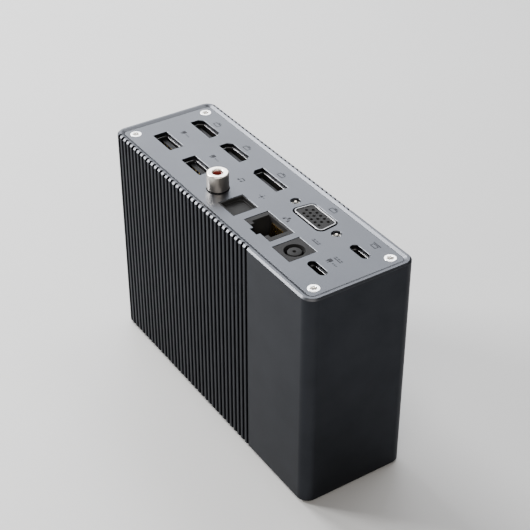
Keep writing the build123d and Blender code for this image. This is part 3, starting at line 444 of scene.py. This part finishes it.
def gridOf(name, unit, finish, columns=1, rows=1, columnStep=(0, 0, 0), rowStep=(0, 0, 0), rowShift=(0, 0, 0),
           centre=(0, 0, 0), turn=(0, 0, 0)):
    made = runTree(gridTree, name, {
        "Unit": unit, "Columns": columns, "Rows": rows, "Column Step": columnStep, "Row Step": rowStep,
        "Row Shift": rowShift, "Centre": centre, "Turn": turn, "Material": materials[finish]})
    dropUnits(unit)
    return made


# sleeve: a wall section swept round the outline, then grooved on both wide faces

sleeve = {"cornerRadius": 4.5, "chamfer": 0.65, "flat": 0.9, "panelInset": 2.8, "rimStand": 0.55, "gap": 0.12,
          "pocket": 2.0, "wall": 3.4, "grooves": 35, "pitch": 2.66, "grooveWidth": 1.3, "grooveDepth": 1.4,
          "mouthEase": 0.16, "edge": 0.12, "cornerSteps": 14, "smoothAngle": 24, "cutterOver": 0.6,
          "cutterSpare": 2.0}


def makeSection():
    # closed section of the wall: x is inwards from the outer face, y is up, and the sweep turns both round
    low, high = sleeveLow.z / mm, sleeveHigh.z / mm
    cut, flat, stand = sleeve["chamfer"], sleeve["chamfer"] + sleeve["flat"], sleeve["rimStand"]
    inset = sleeve["panelInset"] - sleeve["gap"]
    half = [(0, (low + high) / 2, 0), (0, high - cut, sleeve["edge"]), (cut, high, sleeve["edge"]),
            (flat, high, sleeve["edge"]), (inset, high - stand, sleeve["edge"] / 2),
            (inset, high - stand - sleeve["pocket"], 0), (sleeve["wall"], high - stand - sleeve["pocket"], 0)]
    mirrored = [(x, low + high - y, r) for x, y, r in reversed(half[1:])]
    outline = half + mirrored
    outline.reverse()   # so that the swept faces point outwards
    corners = roundCorners([(x, y) for x, y, r in outline], [r for x, y, r in outline])
    curve = bpy.data.curves.new("section", "CURVE")
    curve.dimensions = "3D"
    spline = curve.splines.new("POLY")
    spline.points.add(len(corners) - 1)
    for point, (x, y) in zip(spline.points, corners):
        point.co = (-x * mm, -y * mm, 0, 1)
    spline.use_cyclic_u = True
    return addObject("section", curve)


def makeCutter():
    # upright bar that cuts one groove, with eased mouth; its mouth is at y = 0 and it cuts towards +y
    half, ease = sleeve["grooveWidth"] / 2, sleeve["mouthEase"]
    depth, over = sleeve["grooveDepth"], sleeve["cutterOver"]
    mouth = half + ease + over * 0.9
    outline = [(-mouth, -over), (mouth, -over), (half + ease * 0.1, ease),
               (half, ease * 1.3), (half, depth - ease), (half - ease, depth), (-half + ease, depth),
               (-half, depth - ease), (-half, ease * 1.3), (-half - ease * 0.1, ease)]
    shape = bmesh.new()
    ends = []
    for z in (sleeveLow.z - sleeve["cutterSpare"] * mm, sleeveHigh.z + sleeve["cutterSpare"] * mm):
        ends.append([shape.verts.new((x * mm, y * mm, z)) for x, y in outline])
    count = len(outline)
    for i in range(count):
        j = (i + 1) % count
        shape.faces.new((ends[0][i], ends[0][j], ends[1][j], ends[1][i]))
    shape.faces.new(list(reversed(ends[0])))
    shape.faces.new(ends[1])
    bmesh.ops.recalc_face_normals(shape, faces=shape.faces)
    mesh = bpy.data.meshes.new("cutter")
    shape.to_mesh(mesh)
    shape.free()
    return addObject("cutter", mesh)


def makeSleeveTree():
    tree, given = newTree("groovedSleeve", [
        ("Length", "Float"), ("Width", "Float"), ("Corner Radius", "Float"), ("Corner Steps", "Int"),
        ("Wall Section", "Object"), ("Groove Cutter", "Object"), ("Grooves", "Int"), ("Pitch", "Float"),
        ("First Groove", "Float"), ("Material", "Material")])
    outline = addNode(tree, "GeometryNodeCurvePrimitiveQuadrilateral",
                      {"Width": given["Length"], "Height": given["Width"]})
    rounded = addNode(tree, "GeometryNodeFilletCurve",
                      {"Curve": outline.outputs[0], "Radius": given["Corner Radius"],
                       "Count": given["Corner Steps"]}, mode="POLY")
    section = addNode(tree, "GeometryNodeObjectInfo", {"Object": given["Wall Section"]})
    upright = addNode(tree, "GeometryNodeSetCurveNormal", {"Curve": rounded.outputs[0]}, mode="Z_UP")
    wall = addNode(tree, "GeometryNodeCurveToMesh",
                   {"Curve": upright.outputs[0], "Profile Curve": section.outputs["Geometry"]})
    cutter = addNode(tree, "GeometryNodeObjectInfo", {"Object": given["Groove Cutter"]})
    halfWidth = addNode(tree, "ShaderNodeMath", {0: given["Width"], 1: 0.5}, operation="MULTIPLY").outputs[0]
    cutters = addNode(tree, "GeometryNodeJoinGeometry")
    step = addNode(tree, "ShaderNodeCombineXYZ", {"X": given["Pitch"]})
    for side in (-1.0, 1.0):
        offset = addNode(tree, "ShaderNodeMath", {0: halfWidth, 1: side}, operation="MULTIPLY").outputs[0]
        start = addNode(tree, "ShaderNodeCombineXYZ", {"X": given["First Groove"], "Y": offset})
        line = addNode(tree, "GeometryNodeMeshLine",
                       {"Count": given["Grooves"], "Start Location": start.outputs[0],
                        "Offset": step.outputs[0]})
        row = addNode(tree, "GeometryNodeInstanceOnPoints",
                      {"Points": line.outputs[0], "Instance": cutter.outputs["Geometry"],
                       "Rotation": (0.0, 0.0, 0.0 if side < 0 else math.pi)})
        tree.links.new(row.outputs[0], cutters.inputs[0])
    solid = addNode(tree, "GeometryNodeRealizeInstances", {"Geometry": cutters.outputs[0]})
    grooved = addNode(tree, "GeometryNodeMeshBoolean", operation="DIFFERENCE", solver="EXACT")
    tree.links.new(wall.outputs[0], grooved.inputs[0])
    tree.links.new(solid.outputs[0], grooved.inputs[1])
    endTree(tree, grooved.outputs[0], given["Material"])
    return tree


def buildSleeve():
    section, cutter = makeSection(), makeCutter()
    length, width = sleeveHigh.x - sleeveLow.x, sleeveHigh.y - sleeveLow.y
    made = runTree(makeSleeveTree(), "sleeve", {
        "Length": length, "Width": width, "Corner Radius": sleeve["cornerRadius"] * mm,
        "Corner Steps": sleeve["cornerSteps"], "Wall Section": section, "Groove Cutter": cutter,
        "Grooves": sleeve["grooves"], "Pitch": sleeve["pitch"] * mm,
        "First Groove": sleeveLow.x + sleeve["cornerRadius"] * mm, "Material": materials["housing"]})
    dropUnits(section, cutter)
    return settle(made, "housing_sleeve", "housing", smoothAngle=sleeve["smoothAngle"])


buildSleeve()
print("sleeve grooved")


# port panel and the pieces in it

refine("port_panel", "panel", edge=0.05, chamferMouths=True)
refine("base_plate", "housing", edge=0.15)
for node in ("video_port_shells", "display_port_shell", "usb_a_shells", "usb_c_shells", "monitor_port_shell"):
    refine(node, "shell_steel", edge=0.07)
for node in ("video_port_tongues", "display_port_tongue", "usb_a_tongues", "usb_c_tongues"):
    refine(node, "black_plastic", edge=0.08)
for node in ("monitor_port_insert", "optical_jack_block", "ethernet_jack_block", "power_jack_block",
             "optical_shutter"):
    refine(node, "grey_plastic", edge=0.08)
print("panel and sockets eased")


flatScrew = {"headRadius": 2.15, "edge": 0.12, "shank": 1.25, "length": 9.0, "lobeRadius": 1.15, "lobe": 0.15,
             "recess": 0.75}


def makeFlatScrew(name):
    r, e, s = flatScrew["headRadius"], flatScrew["edge"], flatScrew["shank"]
    inner, lobe = flatScrew["lobeRadius"], flatScrew["lobe"]
    rings = [(s * 0.8, -flatScrew["length"], 0), (s, -flatScrew["length"] + 0.3, 0), (s, s - r, 0),
             (r - e * 0.3, -e, 0), (r, -e * 0.6, 0), (r - e * 0.4, -e * 0.15, 0), (r - e, 0, 0),
             (inner + 0.1, 0, lobe), (inner, -0.08, lobe), (inner * 0.94, -flatScrew["recess"], lobe),
             (inner * 0.3, -flatScrew["recess"] - 0.15, 0)]
    return ringSolid(name, rings, segments=72)


def screwSet(node, faceZ, turn):
    low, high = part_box(node)
    reach = 2 * flatScrew["headRadius"] * mm
    made = gridOf(node + ".shown", makeFlatScrew("screw"), "bright_steel", columns=2, rows=2,
                  columnStep=(high.x - low.x - reach, 0, 0), rowStep=(0, high.y - low.y - reach, 0),
                  centre=((low.x + high.x) / 2, (low.y + high.y) / 2, faceZ), turn=turn)
    return settle(made, node, "bright_steel")


screwSet("port_panel_screws", panelTop, (0, 0, 0.2))
screwSet("base_plate_screws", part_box("base_plate")[0].z, (math.pi, 0, 0))


jackScrew = {"radius": 1.6, "bore": 1.1, "length": 9.0, "mouth": 0.35, "threadPitch": 0.63, "thread": 0.12}


def buildJackScrews():
    low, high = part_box("monitor_port_jack_screws")
    r, b, m = jackScrew["radius"], jackScrew["bore"], jackScrew["mouth"]
    rings = [(b, -jackScrew["length"], 0), (r, -jackScrew["length"], 0), (r, -0.15, 0), (r - 0.05, -0.05, 0),
             (r - 0.15, 0, 0), (b + m * 0.6, 0, 0), (b, -m, 0)]
    turns = int((jackScrew["length"] - m) / jackScrew["threadPitch"]) - 1
    for i in range(turns):
        z = -m - i * jackScrew["threadPitch"]
        rings += [(b + jackScrew["thread"], z - jackScrew["threadPitch"] * 0.35, 0),
                  (b, z - jackScrew["threadPitch"] * 0.85, 0)]
    unit = ringSolid("jackScrew", rings, segments=40, closed=True)
    made = gridOf("jackScrews", unit, "bright_steel", columns=2,
                  columnStep=(high.x - low.x - 2 * r * mm, 0, 0),
                  centre=((low.x + high.x) / 2, (low.y + high.y) / 2, high.z))
    return settle(made, "monitor_port_jack_screws", "bright_steel")


buildJackScrews()


def middle(node):
    low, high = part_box(node)
    return (low.x + high.x) / 2, (low.y + high.y) / 2


coax = {"radius": 4.1, "lip": 1.9, "bore": 3.4, "lipDeep": 1.0, "round": 0.55, "pinBore": 1.6, "collar": 4.3,
        "seat": 3.75}


def buildCoaxJack():
    low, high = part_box("coax_jack_barrel")
    x, y = middle("coax_jack_barrel")
    tall = (high.z - low.z) / mm
    r, lip, e = coax["radius"], coax["lip"], coax["round"]
    turns = (1.57, 1.2, 0.9, 0.6, 0.3, 0.0)   # radians round the rounded rim
    outer = [(r - e + e * math.sin(a), tall - e + e * math.cos(a), 0) for a in turns]
    seatTop = (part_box("coax_jack_collar")[1].z - low.z) / mm
    seat = [(coax["seat"], 0, 0), (coax["seat"], seatTop, 0), (r - 0.02, seatTop + 0.1, 0),
            (r, seatTop + 0.14, 0)]
    rings = [(coax["bore"], 0, 0)] + seat + outer + \
            [(lip + e * 0.7, tall - 0.02, 0), (lip + e * 0.3, tall - e * 0.18, 0), (lip, tall - e * 0.6, 0),
             (lip, tall - coax["lipDeep"], 0), (coax["bore"], tall - coax["lipDeep"], 0)]
    barrel = ringSolid("coaxBarrel", rings, segments=96, centre=(x, y, low.z), closed=True)
    settle(barrel, "coax_jack_barrel", "warmNickel", smoothAngle=50)

    low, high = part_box("coax_jack_insulator")
    tall, b = (high.z - low.z) / mm, coax["pinBore"]
    rings = [(b, 0, 0), (coax["bore"], 0, 0), (coax["bore"], tall, 0), (b + 0.15, tall, 0),
             (b, tall - 0.15, 0)]
    insulator = ringSolid("coaxInsulator", rings, segments=64, centre=(x, y, low.z), closed=True)
    settle(insulator, "coax_jack_insulator", "red_plastic")

    low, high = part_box("coax_jack_centre_contact")
    tall, outer, inner = (high.z - low.z) / mm, coax["pinBore"], coax["pinBore"] - 0.25
    rings = [(inner, 0, 0), (outer, 0, 0), (outer, tall - 0.1, 0), (inner + 0.15, tall, 0),
             (inner, tall - 0.1, 0)]
    contact = ringSolid("coaxContact", rings, segments=48, centre=(x, y, low.z), closed=True)
    settle(contact, "coax_jack_centre_contact", "gold_contact")

    low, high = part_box("coax_jack_collar")
    tall, outer, inner = (high.z - low.z) / mm, coax["collar"], coax["seat"]
    rings = [(inner, 0, 0), (outer, 0, 0), (outer, tall * 0.6, 0), (outer - 0.1, tall, 0), (inner, tall, 0)]
    collar = ringSolid("coaxCollar", rings, segments=96, centre=(x, y, low.z), closed=True)
    settle(collar, "coax_jack_collar", "black_plastic")


buildCoaxJack()


powerJack = {"post": 2.55, "bore": 0.6, "pin": 0.4, "round": 0.25}


def buildPowerJack():
    x, y = middle("power_jack_post")
    low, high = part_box("power_jack_post")
    tall, r, b, e = (high.z - low.z) / mm, powerJack["post"], powerJack["bore"], powerJack["round"]
    rings = [(b, 0, 0), (r, 0, 0), (r, tall - e, 0), (r - e * 0.3, tall - e * 0.3, 0), (r - e, tall, 0),
             (b + 0.15, tall, 0), (b, tall - 0.15, 0)]
    settle(ringSolid("powerPost", rings, segments=72, centre=(x, y, low.z), closed=True),
           "power_jack_post", "grey_plastic")
    low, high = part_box("power_jack_centre_contact")
    tall, p = (high.z - low.z) / mm, powerJack["pin"]
    rings = [(p, 0, 0), (b, 0, 0), (b, tall, 0), (p + 0.1, tall, 0), (p, tall - 0.1, 0)]
    settle(ringSolid("powerContact", rings, segments=40, centre=(x, y, low.z), closed=True),
           "power_jack_centre_contact", "gold_contact")
    low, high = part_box("power_jack_sleeve")
    tall, outer = (high.z - low.z) / mm, (high.x - low.x) / 2 / mm
    rings = [(outer - 0.15, 0, 0), (outer, 0, 0), (outer, tall, 0), (outer - 0.1, tall, 0),
             (outer - 0.15, tall - 0.1, 0)]
    settle(ringSolid("powerSleeve", rings, segments=72, centre=(x, y, low.z), closed=True),
           "power_jack_sleeve", "shell_steel")


buildPowerJack()
print("turned pieces made")


networkSpring = {"count": 8, "pitch": 1.016, "width": 0.45, "thick": 0.3, "steps": 12}


def buildNetworkContacts():
    # each spring leaves the wall near the mouth and leans inwards as it goes down, with a rounded tip
    low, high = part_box("ethernet_contacts")
    top, bottom, wallY = high.z, low.z, high.y
    lean, thick = (high.y - low.y) / mm - networkSpring["thick"], networkSpring["thick"]
    tall = (top - bottom) / mm
    centreLine = []
    last = networkSpring["steps"]
    for k in range(last + 1):
        t = k / last
        centreLine.append((-thick / 2 - lean * (t * t * (3 - 2 * t)), -tall * t))
    shape = bmesh.new()
    loops = []
    for k, (y, z) in enumerate(centreLine):
        ahead = Vector(centreLine[min(k + 1, last)]) - Vector(centreLine[max(k - 1, 0)])
        side = Vector((-ahead.y, ahead.x)).normalized() * thick / 2
        half = networkSpring["width"] / 2
        loops.append([shape.verts.new((sx * half * mm, (y + s * side.x) * mm, (z + s * side.y) * mm))
                      for sx, s in ((-1, -1), (1, -1), (1, 1), (-1, 1))])
    for low4, high4 in zip(loops, loops[1:]):
        for i in range(4):
            j = (i + 1) % 4
            shape.faces.new((low4[i], low4[j], high4[j], high4[i]))
    shape.faces.new(list(reversed(loops[0])))
    shape.faces.new(loops[-1])
    bmesh.ops.recalc_face_normals(shape, faces=shape.faces)
    mesh = bpy.data.meshes.new("spring")
    shape.to_mesh(mesh)
    shape.free()
    made = gridOf("networkSprings", addObject("spring", mesh), "gold_contact", columns=networkSpring["count"],
                  columnStep=(networkSpring["pitch"] * mm, 0, 0),
                  centre=(middle("ethernet_contacts")[0], wallY, top))
    return settle(made, "ethernet_contacts", "gold_contact")


buildNetworkContacts()


feet = {"radius": 5.0, "round": 0.35}


def buildFeet():
    low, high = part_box("base_feet")
    tall, r, e = (high.z - low.z) / mm, feet["radius"], feet["round"]
    rings = [(r - e, 0, 0), (r - e * 0.3, e * 0.3, 0), (r, e, 0), (r, tall, 0)]
    made = gridOf("feet", ringSolid("foot", rings, segments=64), "rubber", columns=2, rows=2,
                  columnStep=(high.x - low.x - 2 * r * mm, 0, 0), rowStep=(0, high.y - low.y - 2 * r * mm, 0),
                  centre=((low.x + high.x) / 2, (low.y + high.y) / 2, low.z))
    return settle(made, "base_feet", "rubber")


buildFeet()


# printed marks: plain pictures, no lettering

marks = {"thick": 0.012, "bury": 0.002}
# each mark as flat bars of x, y, width and height from its middle, in mm
markBars = {
    "screen": [(0, -1.0, 3.4, 0.36), (0, 0.55, 3.4, 0.36), (-1.52, -0.22, 0.36, 1.25),
               (1.52, -0.22, 0.36, 1.25), (0, 0.9, 0.5, 0.4), (0, 1.2, 1.9, 0.32)],
    "plug": [(-0.5, 0.2, 1.9, 1.5), (-0.95, -0.95, 0.42, 0.9), (-0.05, -0.95, 0.42, 0.9),
             (1.6, -0.25, 0.5, 0.5), (2.5, -0.25, 0.5, 0.5), (3.4, -0.25, 0.5, 0.5)],
    "network": [(-1.15, -0.75, 0.95, 0.95), (1.15, -0.75, 0.95, 0.95), (0, 0.85, 0.95, 0.95),
                (0, 0.2, 0.24, 0.5), (0, 0.02, 2.5, 0.24), (-1.15, -0.18, 0.24, 0.3),
                (1.15, -0.18, 0.24, 0.3)],
    "rays": [(0, 0, 0.95, 0.95), (-1.25, 0, 0.75, 0.3), (1.25, 0, 0.75, 0.3),
             (0, -1.1, 0.3, 0.6), (0, 1.1, 0.3, 0.6)],
    "note": [(-0.7, -0.65, 0.95, 0.75), (1.0, -0.65, 0.95, 0.75), (-0.38, 0.2, 0.3, 1.2),
             (1.33, 0.2, 0.3, 1.2), (0.48, 0.92, 2.0, 0.4)],
    "polarity": [(0, -0.42, 3.9, 0.4), (-1.45, 0.4, 1.0, 0.4), (0, 0.4, 1.0, 0.4), (1.45, 0.4, 1.0, 0.4)],
    "laptop": [(0, -1.05, 2.9, 0.34), (0, 0.35, 2.9, 0.34), (-1.28, -0.35, 0.34, 1.2),
               (1.28, -0.35, 0.34, 1.2), (0, 0.95, 4.2, 0.42)],
}


def stamp(shape, mark, x, y):
    # one mark as thin raised bars, upside down to the viewer as the dock stands
    for dx, dy, width, height in markBars[mark]:
        corners = [(-1, -1), (1, -1), (1, 1), (-1, 1)]
        low = [shape.verts.new(((x + dx + a * width / 2) * mm, (y + dy + b * height / 2) * mm,
                                panelTop - marks["bury"] * mm)) for a, b in corners]
        high = [shape.verts.new((v.co.x, v.co.y, panelTop + marks["thick"] * mm)) for v in low]
        for i in range(4):
            j = (i + 1) % 4
            shape.faces.new((low[i], low[j], high[j], high[i]))
        shape.faces.new(list(reversed(low)))
        shape.faces.new(high)


socketWidth = {"video": 14.1, "data": 12.8, "smallHalf": 1.6}


def pairCentres(node, width):
    # centres of the two equal sockets that share a node
    low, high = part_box(node)
    y = (low.y + high.y) / 2
    return [((low.x / mm + width / 2), y / mm), ((high.x / mm - width / 2), y / mm)]


markPlaces = {"video": 5.3, "display": 5.3, "monitor": 7.7, "data": (-1.7, 8.2), "coax": (-0.4, 10.0),
              "optical": 10.0, "power": 8.9, "laptop": 6.4, "supply": (8.4, 5.9)}


def buildMarks():
    shape = bmesh.new()
    for x, y in pairCentres("video_port_shells", socketWidth["video"]):
        stamp(shape, "screen", x, y + markPlaces["video"])
    x, y = (v / mm for v in middle("display_port_shell"))
    stamp(shape, "screen", x, y + markPlaces["display"])
    x, y = (v / mm for v in middle("monitor_port_shell"))
    stamp(shape, "screen", x, y + markPlaces["monitor"])
    for x, y in pairCentres("usb_a_shells", socketWidth["data"]):
        stamp(shape, "plug", x + markPlaces["data"][0], y + markPlaces["data"][1])
    x, y = (v / mm for v in middle("coax_jack_barrel"))
    stamp(shape, "note", x + markPlaces["coax"][0], y + markPlaces["coax"][1])
    x, y = (v / mm for v in middle("optical_shutter"))
    stamp(shape, "rays", x, y + markPlaces["optical"])
    x, y = (v / mm for v in middle("ethernet_contacts"))
    stamp(shape, "network", x, panelCentreY / mm)
    x, y = (v / mm for v in middle("power_jack_post"))
    stamp(shape, "polarity", x, y + markPlaces["power"])
    low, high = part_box("usb_c_shells")
    x, half = (low.x + high.x) / 2 / mm, socketWidth["smallHalf"]
    stamp(shape, "laptop", x, high.y / mm - half + markPlaces["laptop"])
    stamp(shape, "polarity", x, low.y / mm + half + markPlaces["supply"][0])
    stamp(shape, "plug", x - 0.8, low.y / mm + half + markPlaces["supply"][1])
    mesh = bpy.data.meshes.new("printedMarks")
    shape.to_mesh(mesh)
    shape.free()
    piece = addObject("printedMarks", mesh)
    piece.data.materials.append(materials["ink"])
    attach(piece, bodyOf["port_panel"])
    return piece


buildMarks()
print("marks printed")


# finishes on the CAD nodes that stay as they are

for node, shown in frame["nodes"].items():
    if shown.hide_render:
        continue
    if not shown.material_slots:
        shown.data.materials.append(None)
    for place in shown.material_slots:
        place.material = materials[slotOf[node]]
print("remaining nodes finished")


# floor, light and camera

studio = {"floorSize": 6.0, "worldColour": (0.80, 0.83, 0.88), "worldStrength": 0.22,
          "lens": 91.0, "cameraPlace": (0.3438, -0.2195, 0.256), "pitch": 35.25, "heading": 56.9,
          "sensor": 36.0, "nearest": 0.01, "farthest": 20.0}


def buildFloor():
    half = studio["floorSize"] / 2
    mesh = bpy.data.meshes.new("floor")
    corners = [(-half, -half), (half, -half), (half, half), (-half, half)]
    mesh.from_pydata([(x, y, cadLow.z) for x, y in corners], [], [(0, 1, 2, 3)])
    mesh.materials.append(materials["floorPaint"])
    floor = addObject("floor", mesh)


# each box: its direction from the dock as heading and height in degrees, then how far, how large, how strong
softboxes = {
    "wide": {"heading": 156, "height": 32, "away": 1.5, "size": (1.4, 0.9), "watts": 26.0,
            "colour": (0.95, 0.97, 1.0)},
    "rim": {"heading": 188, "height": 45, "away": 1.4, "size": (0.40, 0.35), "watts": 28.0,
            "colour": (1.0, 1.0, 1.0)},
    "end": {"heading": 102, "height": 62, "away": 1.4, "size": (0.45, 0.40), "watts": 7.0,
            "colour": (1.0, 1.0, 1.0)},
    "low": {"heading": 219, "height": 27, "away": 1.3, "size": (0.35, 0.35), "watts": 28.0,
            "colour": (1.0, 0.99, 0.97)},
    "fill": {"heading": 325, "height": 36, "away": 1.6, "size": (1.6, 1.0), "watts": 18.0,
            "colour": (1.0, 0.93, 0.84)},
}


def buildLights():
    for name, box in softboxes.items():
        light = bpy.data.lights.new(name, "AREA")
        light.shape = "RECTANGLE"
        light.size, light.size_y = box["size"]
        light.energy = box["watts"]
        light.color = box["colour"]
        lamp = bpy.data.objects.new(name, light)
        turn, rise = math.radians(box["heading"]), math.radians(box["height"])
        target = Vector((0, 0, panelTop))
        arm = Vector((math.cos(turn) * math.cos(rise), math.sin(turn) * math.cos(rise), math.sin(rise)))
        lamp.location = target + arm * box["away"]
        lamp.rotation_euler = (-arm).to_track_quat("-Z", "Y").to_euler()
        bpy.context.scene.collection.objects.link(lamp)
    world = bpy.data.worlds.new("studio")
    world.use_nodes = True
    sky = world.node_tree.nodes["Background"]
    sky.inputs["Color"].default_value = (*studio["worldColour"], 1.0)
    sky.inputs["Strength"].default_value = studio["worldStrength"]
    bpy.context.scene.world = world


def buildCamera():
    camera = bpy.data.cameras.new("camera")
    camera.lens = studio["lens"]
    camera.sensor_width = studio["sensor"]
    camera.clip_start, camera.clip_end = studio["nearest"], studio["farthest"]
    holder = bpy.data.objects.new("camera", camera)
    holder.location = Vector(studio["cameraPlace"]) + Vector((0, 0, panelTop))
    holder.rotation_euler = (math.radians(90 - studio["pitch"]), 0, math.radians(studio["heading"]))
    bpy.context.scene.collection.objects.link(holder)
    bpy.context.scene.camera = holder


buildFloor()
buildLights()
buildCamera()
print("studio set")
